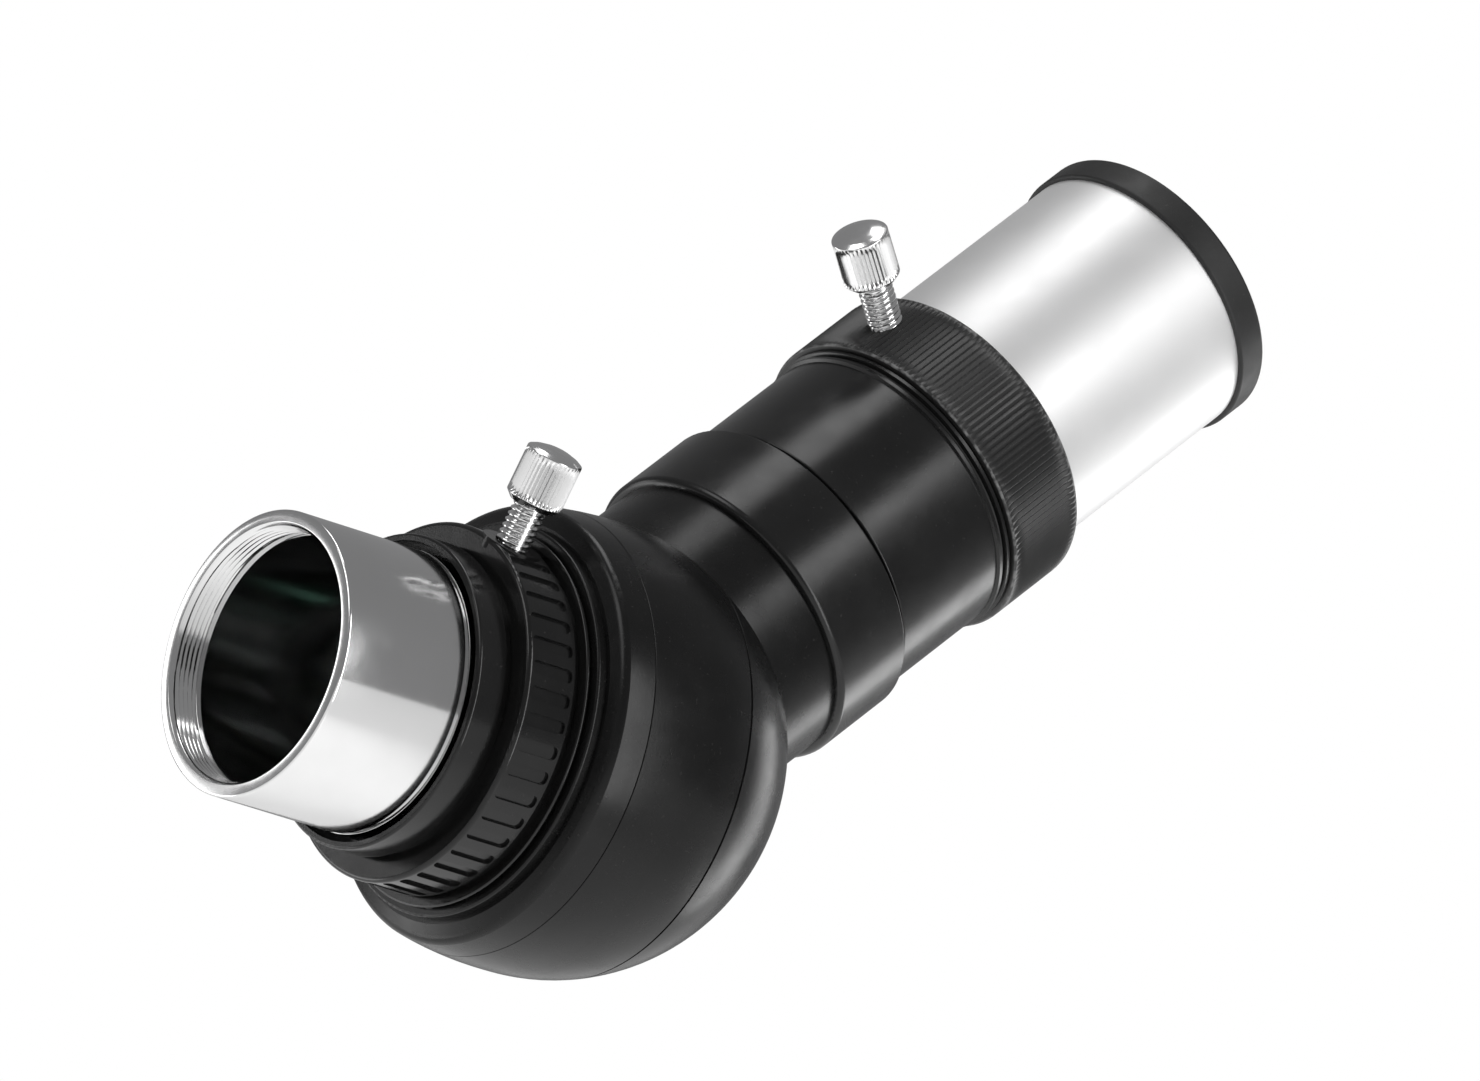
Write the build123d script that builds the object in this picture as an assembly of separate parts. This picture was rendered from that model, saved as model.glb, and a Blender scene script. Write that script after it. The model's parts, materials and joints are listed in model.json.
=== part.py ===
from build123d import *
import math
import os

# Star diagonal with a 45 degree erecting prism, millimetres.
# The nosepiece mouth is centred on the origin and +X runs along the nosepiece axis, the way the light
# travels. The exit tube rises at 45 degrees in the XZ plane, and +Z is up.
# Every turned part is drawn about its own axis with stations measured from the crossing of the two
# axes, negative towards the telescope, and is placed from there.

# ---- driving dimensions ----
MOUTH_TO_CROSSING = 42.0
BEND = 45.0
BARREL_R = 15.875          # the 1.25 inch standard barrel
SLIP = 0.05                # radial clearance of a barrel in its socket
THREAD_CLEARANCE = 0.05    # radial clearance of a thumbscrew in its tapped hole
SOCKET_R = BARREL_R + SLIP
FAR = 80.0                 # past the end of every part
CLEAR_APERTURE_R = 13.5

# nosepiece
NOSE_BORE_R = 13.9
FILTER_THREAD_R = 14.25
FILTER_THREAD_DEPTH = 4.0
NOSE_TAIL_R = 15.0
NOSE_GROOVE_X = -25.9
NOSE_GROOVE_WIDTH = 0.6
NOSE_GROOVE_R = 15.45

# collar that caps the focuser drawtube
COLLAR_FRONT = -25.2
COLLAR_BACK = -12.7
FLANGE_R = 17.5
FLANGE_BACK = -21.4
DRAWTUBE_R = 16.70
DRAWTUBE_DEPTH = 3.2
GRIP_R = 20.0
GRIP_FRONT = -20.5
GRIP_BACK = -13.8
GRIP_RIBS = 44
RIB_GAP_WIDTH = 1.5
RIB_GAP_DEPTH = 0.9
GRIP_GROOVE_R = 16.95
LIP_R = 21.0
LIP_FRONT = -13.2
COLLAR_SCREW_X = -17.1
COLLAR_SCREW_TILT = 24.0

# prism housing
NOSE_STEP_R = 21.9
NOSE_STEP_FRONT = -12.4
HOUSING_FRONT = -11.2
HOUSING_R = 25.3
RIM_FACE_R = 22.4
RIM_CORNER = (-10.85, 23.55)
RIM_ROUND = (-10.45, 24.2)
RIM_SHOULDER = (-10.0, 24.45)
HOUSING_SIDE = (-5.4, 25.12)
WALL = 2.5
TONGUE = 0.9
NECK_GAP = 1.6
COVER_SEAM = -6.9
CAP_SEAM = 7.4
COVER_WEB = 2.1
SEAM_GROOVE = 0.18
COVER_SCREW_PCD_R = 19.3
COVER_SCREW_ANGLES = (70.0, 180.0, 290.0)
COVER_SCREW_R = 1.0
COVER_SCREW_HEAD_R = 1.75
COVER_SCREW_TIP = -2.0
BOSS_R = 1.9
BOSS_BACK = 4.5

# exit side, stations along the raised axis
NECK_R = 16.95
NECK_FRONT = 17.2
NECK_END = 26.5
BAFFLE_FRONT = 19.0
BAFFLE_BACK = 20.2
SPIGOT_R = 15.2
SPIGOT_END = 33.2
BAND_R = 17.9
BAND_END = 37.1
SEAT_R = 16.2
HOLDER_FRONT = 37.9
HOLDER_R = 17.0
HOLDER_BACK = 65.0
HOLDER_BORE_R = 14.0
RING_R = 18.1
RING_FRONT = 55.1
RING_BACK = 65.9
RING_SEAT_R = 16.75
EYEPIECE_STOP = 39.2
HOLDER_SCREW_X = 60.8
HOLDER_SCREW_TILT = 12.3

# eyepiece
EYEPIECE_FRONT = 39.6
EYEPIECE_SHOULDER = 94.9
EYEPIECE_BACK = 98.7
EYEPIECE_BORE_R = 14.7
RIM_R = 16.45
EYE_OPENING_R = 8.5
RIM_PLUG_BORE_R = 12.6
FIELD_STOP_R = 9.0
SPACER_BORE_R = 13.2
RETAINER_BORE_R = 13.0
LENS_RIM = 1.8
FIELD_LENS_BULGE = 2.2
EYE_LENS_BULGE = 2.4
LENS_SEAT = 70.0
FIELD_LENS_BACK = 72.5
FIELD_STOP_BACK = 73.7
SPACER_BACK = 86.0
EYE_LENS_BACK = 88.4
RETAINER_BACK = 89.9

# thumbscrews, stations along the screw from the axis of the tube it clamps
SCREW_R = 1.95
SCREW_PITCH = 0.7
SCREW_TIP_GAP = 0.1
SCREW_HEAD_R = 3.2
SCREW_HEAD_LENGTH = 6.8
SCREW_HEAD_FLUTES = 22
SCREW_HEAD_DOME = 0.7
SCREW_SOCKET_DEPTH = 4.2
THREAD_DEPTH = 0.25
COLLAR_SCREW_TOP = 31.5
HOLDER_SCREW_TOP = 30.0

# prism and its mounting
PRISM_FACE = -4.9
PRISM_EXIT = 9.0
PRISM_LEG = 30.5
PRISM_HALF_WIDTH = 11.0
PRISM_TOP = 12.6
PAD = 0.9
CHEEK = 1.5
CRADLE_DISC_R = 22.6
CRADLE_DISC = 2.0
CRADLE_APERTURE_R = 11.5
CLIP = 0.6
CLIP_WIDTH = 3.4
CLIP_MIDDLE = PRISM_FACE + 2.0
CLIP_SCREW_R = 0.8
CLIP_SCREW_HEIGHT = 7.6
CLIP_EAR_BOTTOM = 5.4

nose_front = -MOUTH_TO_CROSSING
inner_r = HOUSING_R - WALL
web_back = HOUSING_FRONT + COVER_WEB


# ---- placing and shaping helpers ----
def on_nosepiece_axis(shape):
    """Moves a part drawn about X through the crossing into the row frame."""
    return Pos(X=MOUTH_TO_CROSSING) * shape


def on_exit_axis(shape):
    """Moves a part drawn about X through the crossing onto the raised exit axis."""
    return Pos(X=MOUTH_TO_CROSSING) * Rot(Y=-BEND) * shape


def turned(*outline):
    """Revolves a closed outline about X; each corner is (x, radius) or (x, radius, rounding)."""
    face = Polygon(*[corner[:2] for corner in outline], align=None)
    for corner in outline:
        if len(corner) == 3:
            vertex = face.vertices().sort_by_distance(corner[:2] + (0,))[0]
            face = fillet(vertex, corner[2])
    return revolve(face, Axis.X)


def tube(x0, x1, outside_r, bore_r):
    """A plain tube about X."""
    return turned((x0, bore_r), (x1, bore_r), (x1, outside_r), (x0, outside_r))


def cap_arc(rim_x, rim_r, tip_x):
    """Arc of a sphere centred on X, from its rim to its tip on X."""
    height = tip_x - rim_x
    sphere_r = (rim_r ** 2 + height ** 2) / (2 * height)
    half = math.asin(rim_r / abs(sphere_r)) / 2
    middle_x = tip_x - sphere_r * (1 - math.cos(half))
    return ThreePointArc((rim_x, rim_r), (middle_x, abs(sphere_r) * math.sin(half)), (tip_x, 0))


def sphere_arc(x0, x1, sphere_r):
    """Arc of a sphere centred on the crossing, between two stations on X."""
    middle = (math.acos(x0 / sphere_r) + math.acos(x1 / sphere_r)) / 2
    ends = [(x, math.sqrt(sphere_r ** 2 - x ** 2)) for x in (x0, x1)]
    return ThreePointArc(ends[0], (sphere_r * math.cos(middle), sphere_r * math.sin(middle)), ends[1])


def spherical_band(x0, x1, outside_r, inside_r):
    """The slice of a hollow sphere between two stations on X."""
    outer = sphere_arc(x0, x1, outside_r)
    inner = sphere_arc(x1, x0, inside_r)
    return revolve(make_face([outer, Line(outer @ 1, inner @ 0), inner, Line(inner @ 1, outer @ 0)]), Axis.X)


def rod(x0, x1, radius):
    """A plain cylinder about X."""
    return turned((x0, 0), (x1, 0), (x1, radius), (x0, radius))


def upright(radius, z0, z1):
    """A plain cylinder about Z."""
    return Pos(0, 0, z0) * Cylinder(radius, z1 - z0, align=(Align.CENTER, Align.CENTER, Align.MIN))


def screw_hole(x):
    """The tapped hole of a thumbscrew, straight up from the axis at a station."""
    return Pos(x, 0, 0) * upright(SCREW_R + THREAD_CLEARANCE, 0, FAR)


def around_x(shape, angle):
    """Turns a shape about X; positive angles lean +Z towards -Y."""
    return Rot(X=angle) * shape


def save(name, *solids):
    """Writes one sub-part, which may be several separate solids."""
    shape = solids[0] if len(solids) == 1 else Compound(children=list(solids))
    export_step(shape, f"parts/{name}.step")


# ---- collar on the focuser drawtube ----
def grip_gaps():
    """The round-ended gaps between the ribs of the grip."""
    gap = Box(GRIP_BACK - GRIP_FRONT - 1.2, RIB_GAP_WIDTH, RIB_GAP_DEPTH)
    gap = fillet(gap.edges().filter_by(Axis.Z), 0.6)
    middle = (GRIP_FRONT + GRIP_BACK) / 2
    pitch = 360 / GRIP_RIBS
    return [around_x(Pos(middle, 0, GRIP_R + 0.1) * gap, pitch * (index + 0.5)) for index in range(GRIP_RIBS)]


def drawtube_collar():
    """Ribbed collar with a flange in front, a socket for the drawtube and a thin lip behind."""
    socket_end = COLLAR_FRONT + DRAWTUBE_DEPTH
    grip_foot_r = GRIP_R - 0.5
    body = turned(
        (socket_end, SOCKET_R), (COLLAR_BACK, SOCKET_R), (COLLAR_BACK, LIP_R, 0.25), (LIP_FRONT, LIP_R, 0.2),
        (LIP_FRONT, grip_foot_r), (GRIP_BACK, grip_foot_r), (GRIP_BACK, GRIP_R, 0.3),
        (GRIP_FRONT, GRIP_R, 0.5), (GRIP_FRONT, GRIP_GROOVE_R), (FLANGE_BACK, GRIP_GROOVE_R),
        (FLANGE_BACK, FLANGE_R, 0.3), (COLLAR_FRONT, FLANGE_R, 0.3), (COLLAR_FRONT, DRAWTUBE_R),
        (socket_end, DRAWTUBE_R))
    body -= grip_gaps()
    boss = Pos(COLLAR_SCREW_X, 0, 0) * upright(SCREW_R + 1.5, GRIP_R - 1.2, GRIP_R)
    body += around_x(boss, COLLAR_SCREW_TILT)
    return body - around_x(screw_hole(COLLAR_SCREW_X), COLLAR_SCREW_TILT)


# ---- thumbscrews ----
def screw_stud(tip, top):
    """Threaded stud along +Z with an annular groove at each pitch."""
    end = top - SCREW_HEAD_LENGTH + SCREW_SOCKET_DEPTH - SCREW_TIP_GAP
    outline = [(tip, 0), (tip, SCREW_R - 0.6), (tip + 0.6, SCREW_R)]
    turns = int((end - 0.4 - tip - 0.8) / SCREW_PITCH)
    for turn in range(turns):
        start = tip + 0.7 + turn * SCREW_PITCH
        outline.append((start, SCREW_R))
        outline.append((start + 0.3, SCREW_R - THREAD_DEPTH))
        outline.append((start + 0.6, SCREW_R))
    outline.append((end, SCREW_R))
    outline.append((end, 0))
    return Rot(Y=-90) * turned(*outline)


def screw_head(top):
    """Knurled cylindrical head with a domed top and a blind socket for the stud."""
    bottom = top - SCREW_HEAD_LENGTH
    shoulder = top - SCREW_HEAD_DOME
    profile = make_face([
        Line((bottom, 0), (bottom, SCREW_HEAD_R - 0.7)),
        Line((bottom, SCREW_HEAD_R - 0.7), (bottom + 0.7, SCREW_HEAD_R)),
        Line((bottom + 0.7, SCREW_HEAD_R), (shoulder, SCREW_HEAD_R)),
        cap_arc(shoulder, SCREW_HEAD_R, top),
        Line((top, 0), (bottom, 0))])
    head = Rot(Y=-90) * revolve(profile, Axis.X)
    flute_length = SCREW_HEAD_LENGTH - 2.3
    flute = Rot(Z=45) * Box(0.42, 0.42, flute_length)
    flute = Pos(SCREW_HEAD_R + 0.05, 0, bottom + 1.0 + flute_length / 2) * flute
    pitch = 360 / SCREW_HEAD_FLUTES
    flutes = [Rot(Z=pitch * index) * flute for index in range(SCREW_HEAD_FLUTES)]
    socket = upright(SCREW_R + THREAD_CLEARANCE, bottom, bottom + SCREW_SOCKET_DEPTH)
    return head - flutes - socket


def collar_screw(shape):
    return on_nosepiece_axis(around_x(Pos(X=COLLAR_SCREW_X) * shape, COLLAR_SCREW_TILT))


def holder_screw(shape):
    return on_exit_axis(around_x(Pos(X=HOLDER_SCREW_X) * shape, HOLDER_SCREW_TILT))


# ---- nosepiece ----
def nosepiece_barrel():
    tail = web_back + 2.0
    groove_end = NOSE_GROOVE_X + NOSE_GROOVE_WIDTH
    return turned(
        (nose_front, FILTER_THREAD_R), (nose_front, BARREL_R, 0.3), (NOSE_GROOVE_X, BARREL_R),
        (NOSE_GROOVE_X, NOSE_GROOVE_R), (groove_end, NOSE_GROOVE_R), (groove_end, BARREL_R),
        (NOSE_STEP_FRONT, BARREL_R), (NOSE_STEP_FRONT, NOSE_TAIL_R), (tail, NOSE_TAIL_R),
        (tail, NOSE_BORE_R), (nose_front + FILTER_THREAD_DEPTH, NOSE_BORE_R),
        (nose_front + FILTER_THREAD_DEPTH, FILTER_THREAD_R))


def nosepiece_lock_ring():
    back = web_back + 2.0
    ring_r = NOSE_TAIL_R + 2.0
    ring = turned((web_back, NOSE_TAIL_R), (back, NOSE_TAIL_R), (back, ring_r, 0.3), (web_back, ring_r))
    slot = Pos(back, 0, 0) * Box(1.6, 1.6, 2 * ring_r + 6.0)
    return ring - slot


# ---- housing shells ----
def quarter_circle(radius):
    """From the top of a sphere about the crossing to its rearmost point."""
    diagonal = radius * math.sin(math.pi / 4)
    return ThreePointArc((0, radius), (diagonal, diagonal), (radius, 0))


def housing_outside():
    """Solid outer form: a rounded front rim, a nearly straight side and half a sphere behind."""
    face = (HOUSING_FRONT, RIM_FACE_R)
    return revolve(make_face([
        Line((HOUSING_FRONT, 0), face),
        Line(face, RIM_CORNER),
        ThreePointArc(RIM_CORNER, RIM_ROUND, RIM_SHOULDER),
        ThreePointArc(RIM_SHOULDER, HOUSING_SIDE, (0, HOUSING_R)),
        quarter_circle(HOUSING_R),
        Line((HOUSING_R, 0), (HOUSING_FRONT, 0))]), Axis.X)


def housing_inside(wall):
    """Solid inner form: a straight bore behind the cover's web and half a sphere behind it."""
    radius = HOUSING_R - wall
    return revolve(make_face([
        Line((web_back, 0), (web_back, radius)),
        Line((web_back, radius), (0, radius)),
        quarter_circle(radius),
        Line((radius, 0), (web_back, 0))]), Axis.X)


def seam(station, radius):
    """A fine V groove round the housing where two shells meet."""
    above = HOUSING_R + 0.5
    return turned(
        (station - SEAM_GROOVE, above), (station - SEAM_GROOVE, radius), (station, radius - 0.3),
        (station + SEAM_GROOVE, radius), (station + SEAM_GROOVE, above))


def housing_shell():
    shell = housing_outside() - housing_inside(WALL)
    shell -= seam(COVER_SEAM, HOUSING_SIDE[1])
    return shell - seam(CAP_SEAM, math.sqrt(HOUSING_R ** 2 - CAP_SEAM ** 2))


def slab(x0, x1):
    """Everything between two stations along X."""
    return Pos((x0 + x1) / 2, 0, 0) * Box(x1 - x0, 2 * FAR, 2 * FAR)


def at_cover_screws(shape):
    """One copy of a shape, drawn at the top, at each cover screw."""
    return [around_x(shape, angle) for angle in COVER_SCREW_ANGLES]


def cover_screw_rod(x0, x1, radius):
    return Pos(0, 0, COVER_SCREW_PCD_R) * rod(x0, x1, radius)


def countersunk_screw():
    """A cover screw without its recess, which is also the hole that it fills."""
    return Pos(0, 0, COVER_SCREW_PCD_R) * turned(
        (NOSE_STEP_FRONT, 0), (NOSE_STEP_FRONT, COVER_SCREW_HEAD_R),
        (NOSE_STEP_FRONT + 0.2, COVER_SCREW_HEAD_R), (NOSE_STEP_FRONT + 1.0, COVER_SCREW_R),
        (COVER_SCREW_TIP, COVER_SCREW_R), (COVER_SCREW_TIP, 0))


def cover_screw():
    recess = Box(1.2, 0.4, 1.7) + Box(1.2, 1.7, 0.4)
    return countersunk_screw() - Pos(NOSE_STEP_FRONT, 0, COVER_SCREW_PCD_R) * recess


def front_cover(shell):
    """Front shell with a web behind a stepped face, three screw holes and a plain hole for the nosepiece."""
    step_back = HOUSING_FRONT + 0.5
    cover = shell & slab(-FAR, COVER_SEAM)
    cover += turned(
        (NOSE_STEP_FRONT, NOSE_TAIL_R), (NOSE_STEP_FRONT, NOSE_STEP_R, 0.3), (step_back, NOSE_STEP_R),
        (step_back, NOSE_TAIL_R))
    cover -= rod(-FAR, 0, NOSE_TAIL_R)
    for boss in at_cover_screws(cover_screw_rod(web_back - 0.5, COVER_SEAM, BOSS_R)):
        cover += boss
    return cover - at_cover_screws(countersunk_screw())


def neck_zone(radius, start=0.0):
    """A cylinder about the exit axis, in nosepiece axis coordinates."""
    return Rot(Y=-BEND) * rod(start, FAR, radius)


def rear_cap(shell):
    """Rear shell with a thin tongue that plugs into the middle shell."""
    tongue = spherical_band(CAP_SEAM - 1.6, CAP_SEAM + 3.0, inner_r, inner_r - TONGUE)
    cap = (shell & slab(CAP_SEAM, FAR)) + tongue
    return cap - neck_zone(NECK_R + NECK_GAP)


def cover_screw_boss():
    """A blind boss for one cover screw, with a rib out to the wall."""
    front = COVER_SEAM + CRADLE_DISC
    rib = Box(BOSS_BACK - front, 2.4, 2 * BOSS_R)
    rib = Pos((front + BOSS_BACK) / 2, 0, COVER_SCREW_PCD_R + BOSS_R) * rib
    return cover_screw_rod(front, BOSS_BACK, BOSS_R) + rib


def housing_body(shell):
    """Middle shell in one piece with the neck and its spigot."""
    body = shell & slab(COVER_SEAM, CAP_SEAM)
    body += shell & slab(CAP_SEAM, FAR) & neck_zone(NECK_R + NECK_GAP)
    body += Rot(Y=-BEND) * turned(
        (NECK_FRONT, CLEAR_APERTURE_R), (SPIGOT_END, CLEAR_APERTURE_R), (SPIGOT_END, SPIGOT_R),
        (NECK_END, SPIGOT_R), (NECK_END, NECK_R), (NECK_FRONT, NECK_R))
    within = housing_inside(WALL - 0.5)
    for boss in at_cover_screws(cover_screw_boss()):
        body += boss & within
    body -= neck_zone(CLEAR_APERTURE_R)
    return body - at_cover_screws(countersunk_screw())


# ---- prism group ----
def exit_height(x):
    """Height at which the prism's exit face meets a given station."""
    return PRISM_EXIT / math.sin(math.radians(BEND)) - x


def prism():
    """Roof prism: entrance and exit faces 45 degrees apart, with a 90 degree roof below."""
    half_bend = math.radians(BEND / 2)
    leg = PRISM_LEG * math.sin(math.radians(BEND))
    apex_z = exit_height(PRISM_FACE)
    low = (PRISM_FACE, apex_z - PRISM_LEG)
    right = (PRISM_FACE + leg, apex_z - leg)
    side = Polygon((PRISM_FACE, apex_z), low, right, align=None)
    body = extrude(Plane.XZ * side, PRISM_HALF_WIDTH, both=True)
    body &= Pos(0, 0, PRISM_TOP - FAR) * Box(2 * FAR, 2 * FAR, 2 * FAR)
    ridge = Vector((low[0] + right[0]) / 2, 0, (low[1] + right[1]) / 2)
    inwards = Vector(-math.sin(half_bend), 0, math.cos(half_bend))
    along = Vector(math.cos(half_bend), 0, math.sin(half_bend))
    wedge = Plane(origin=ridge, x_dir=inwards, z_dir=along) * Polygon(
        (0, 0), (PRISM_LEG, -PRISM_LEG), (PRISM_LEG, PRISM_LEG), align=None)
    return body & extrude(wedge, FAR, both=True)


def cheek_outline():
    return Polygon(
        (COVER_SEAM, PRISM_TOP), (COVER_SEAM, -9.0), (8.0, -4.5), (10.0, 1.5),
        (exit_height(PRISM_TOP) - 0.5, PRISM_TOP), align=None)


def clip_screw_spots(shape):
    """A shape drawn about X, placed on both cheeks pointing outwards from the cheek's face."""
    face_y = PRISM_HALF_WIDTH + PAD + CHEEK
    return [
        Pos(CLIP_MIDDLE, face_y, CLIP_SCREW_HEIGHT) * Rot(Z=90) * shape,
        Pos(CLIP_MIDDLE, -face_y, CLIP_SCREW_HEIGHT) * Rot(Z=-90) * shape]


def prism_cradle():
    """Disc clamped under the front cover, with two cheeks that hold the prism."""
    cradle = tube(COVER_SEAM, COVER_SEAM + CRADLE_DISC, CRADLE_DISC_R, CRADLE_APERTURE_R)
    cradle -= at_cover_screws(cover_screw_rod(-FAR, FAR, COVER_SCREW_R))
    inner_y = PRISM_HALF_WIDTH + PAD
    plate = extrude(Plane.XZ * cheek_outline(), CHEEK)
    for y in (-inner_y, inner_y + CHEEK):
        cradle += Pos(0, y, 0) * plate
    return cradle - clip_screw_spots(rod(-CHEEK, 0, CLIP_SCREW_R))


def prism_pads():
    """Cork pads between the prism and the cheeks."""
    front = PRISM_FACE + 0.6
    outline = Polygon((front, PRISM_TOP - 1.0), (front, -1.5), (7.0, 3.0), (0.0, 10.0), align=None)
    pad = extrude(Plane.XZ * outline, PAD)
    return [Pos(0, -PRISM_HALF_WIDTH, 0) * pad, Pos(0, PRISM_HALF_WIDTH + PAD, 0) * pad]


def prism_clip():
    """Spring strap over the prism with an ear down each cheek."""
    outer_y = PRISM_HALF_WIDTH + PAD + CHEEK + CLIP
    top = PRISM_TOP + CLIP
    strap = Pos(CLIP_MIDDLE, 0, top - CLIP / 2) * Box(CLIP_WIDTH, 2 * outer_y, CLIP)
    for side in (-1, 1):
        ear = Box(CLIP_WIDTH, CLIP, top - CLIP_EAR_BOTTOM)
        strap += Pos(CLIP_MIDDLE, side * (outer_y - CLIP / 2), (top + CLIP_EAR_BOTTOM) / 2) * ear
    return strap - clip_screw_spots(rod(-CHEEK, CLIP, CLIP_SCREW_R))


def clip_screws():
    head_back = CLIP + 0.8
    screw = turned(
        (-CHEEK, 0), (-CHEEK, CLIP_SCREW_R), (CLIP, CLIP_SCREW_R), (CLIP, 1.4), (head_back, 1.4, 0.3),
        (head_back, 0))
    return clip_screw_spots(screw - Pos(head_back, 0, 0) * Box(0.7, 0.4, 4.0))


# ---- exit tube ----
def neck_baffle():
    return turned(
        (BAFFLE_FRONT, 11.0), (BAFFLE_BACK, 11.6), (BAFFLE_BACK, CLEAR_APERTURE_R),
        (BAFFLE_FRONT, CLEAR_APERTURE_R))


def neck_band():
    return turned(
        (NECK_END, SPIGOT_R), (SPIGOT_END, SPIGOT_R), (SPIGOT_END, SEAT_R), (BAND_END, SEAT_R),
        (BAND_END, BAND_R, 0.2), (NECK_END, BAND_R, 0.8))


def holder_tube():
    """Eyepiece socket, with two fine ridges in front of the seat of the clamp ring."""
    ridges = []
    for start, height in ((RING_FRONT - 1.9, 0.35), (RING_FRONT - 0.85, 0.5)):
        ridges += [(start, HOLDER_R), (start + 0.15, HOLDER_R + height), (start + 0.55, HOLDER_R + height),
                   (start + 0.7, HOLDER_R - 0.15), (start + 0.85, HOLDER_R - 0.15)]
    body = turned(
        (SPIGOT_END, HOLDER_BORE_R), (EYEPIECE_STOP, HOLDER_BORE_R),
        (EYEPIECE_STOP, SOCKET_R), (HOLDER_BACK, SOCKET_R),
        (HOLDER_BACK, RING_SEAT_R), (RING_FRONT, RING_SEAT_R), *reversed(ridges),
        (HOLDER_FRONT, HOLDER_R, 0.25), (HOLDER_FRONT, SEAT_R), (SPIGOT_END, SEAT_R))
    return body - around_x(screw_hole(HOLDER_SCREW_X), HOLDER_SCREW_TILT)


def clamp_ring():
    """Metal ring pressed on the holder, with a rounded rear edge."""
    ring = turned(
        (RING_FRONT, RING_SEAT_R), (HOLDER_BACK, RING_SEAT_R),
        (HOLDER_BACK, SOCKET_R), (RING_BACK, SOCKET_R, 0.3),
        (RING_BACK, RING_R, 1.0), (RING_FRONT, RING_R, 0.3))
    return ring - around_x(screw_hole(HOLDER_SCREW_X), HOLDER_SCREW_TILT)


# ---- eyepiece ----
def eyepiece_barrel():
    """Plain silver barrel with a filter thread in front and a seat for the field lens."""
    return turned(
        (EYEPIECE_FRONT, FILTER_THREAD_R), (EYEPIECE_FRONT, BARREL_R, 0.3), (EYEPIECE_SHOULDER, BARREL_R),
        (EYEPIECE_SHOULDER, EYEPIECE_BORE_R), (LENS_SEAT, EYEPIECE_BORE_R), (LENS_SEAT, NOSE_BORE_R),
        (EYEPIECE_FRONT + FILTER_THREAD_DEPTH, NOSE_BORE_R),
        (EYEPIECE_FRONT + FILTER_THREAD_DEPTH, FILTER_THREAD_R))


def eyepiece_rim():
    """Black screw-in rim: a plug in the barrel, a flange over its end and a dished eye opening."""
    return turned(
        (RETAINER_BACK, RIM_PLUG_BORE_R), (RETAINER_BACK, EYEPIECE_BORE_R),
        (EYEPIECE_SHOULDER, EYEPIECE_BORE_R),
        (EYEPIECE_SHOULDER, RIM_R, 0.3), (EYEPIECE_BACK, RIM_R, 0.5), (EYEPIECE_BACK, 13.6, 0.4),
        (EYEPIECE_SHOULDER + 1.4, EYE_OPENING_R), (EYEPIECE_SHOULDER - 0.6, EYE_OPENING_R),
        (EYEPIECE_SHOULDER - 0.6, RIM_PLUG_BORE_R))


def lens(front, back, radius, front_bulge, back_bulge):
    """A lens about X: spherical faces inside a flat rim; a bulge of zero is a flat face."""
    clear_r = radius - LENS_RIM
    edges = [Line((front, radius), (back, radius))]
    for x, bulge in ((front, -front_bulge), (back, back_bulge)):
        if bulge:
            edges.append(Line((x, radius), (x, clear_r)))
            edges.append(cap_arc(x, clear_r, x + bulge))
        else:
            edges.append(Line((x, radius), (x, 0)))
    edges.append(Line((front - front_bulge, 0), (back + back_bulge, 0)))
    return revolve(make_face(edges), Axis.X)


os.makedirs("parts", exist_ok=True)
shell = housing_shell()

save("drawtube_collar", on_nosepiece_axis(drawtube_collar()))
screw_tip = BARREL_R + SCREW_TIP_GAP
save("collar_screw_stud", collar_screw(screw_stud(screw_tip, COLLAR_SCREW_TOP)))
save("collar_screw_head", collar_screw(screw_head(COLLAR_SCREW_TOP)))

save("nosepiece_barrel", on_nosepiece_axis(nosepiece_barrel()))
save("nosepiece_lock_ring", on_nosepiece_axis(nosepiece_lock_ring()))
save("front_cover", on_nosepiece_axis(front_cover(shell)))
save("cover_screws", *[on_nosepiece_axis(one) for one in at_cover_screws(cover_screw())])
save("housing_body", on_nosepiece_axis(housing_body(shell)))
save("rear_cap", on_nosepiece_axis(rear_cap(shell)))

save("prism", on_nosepiece_axis(prism()))
save("prism_cradle", on_nosepiece_axis(prism_cradle()))
save("prism_pads", *[on_nosepiece_axis(pad) for pad in prism_pads()])
save("prism_clip", on_nosepiece_axis(prism_clip()))
save("clip_screws", *[on_nosepiece_axis(screw) for screw in clip_screws()])

save("neck_baffle", on_exit_axis(neck_baffle()))
save("neck_band", on_exit_axis(neck_band()))
save("holder_tube", on_exit_axis(holder_tube()))
save("clamp_ring", on_exit_axis(clamp_ring()))
save("holder_screw_stud", holder_screw(screw_stud(screw_tip, HOLDER_SCREW_TOP)))
save("holder_screw_head", holder_screw(screw_head(HOLDER_SCREW_TOP)))

save("eyepiece_barrel", on_exit_axis(eyepiece_barrel()))
save("eyepiece_rim", on_exit_axis(eyepiece_rim()))
field_lens = lens(LENS_SEAT, FIELD_LENS_BACK, EYEPIECE_BORE_R, FIELD_LENS_BULGE, 0.0)
eye_lens = lens(SPACER_BACK, EYE_LENS_BACK, EYEPIECE_BORE_R, 0.0, EYE_LENS_BULGE)
save("field_lens", on_exit_axis(field_lens))
field_stop = tube(FIELD_LENS_BACK, FIELD_STOP_BACK, EYEPIECE_BORE_R, FIELD_STOP_R)
lens_spacer = tube(FIELD_STOP_BACK, SPACER_BACK, EYEPIECE_BORE_R, SPACER_BORE_R)
retaining_ring = tube(EYE_LENS_BACK, RETAINER_BACK, EYEPIECE_BORE_R, RETAINER_BORE_R)
save("field_stop", on_exit_axis(field_stop))
save("lens_spacer", on_exit_axis(lens_spacer))
save("eye_lens", on_exit_axis(eye_lens))
save("lens_retaining_ring", on_exit_axis(retaining_ring))
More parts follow.
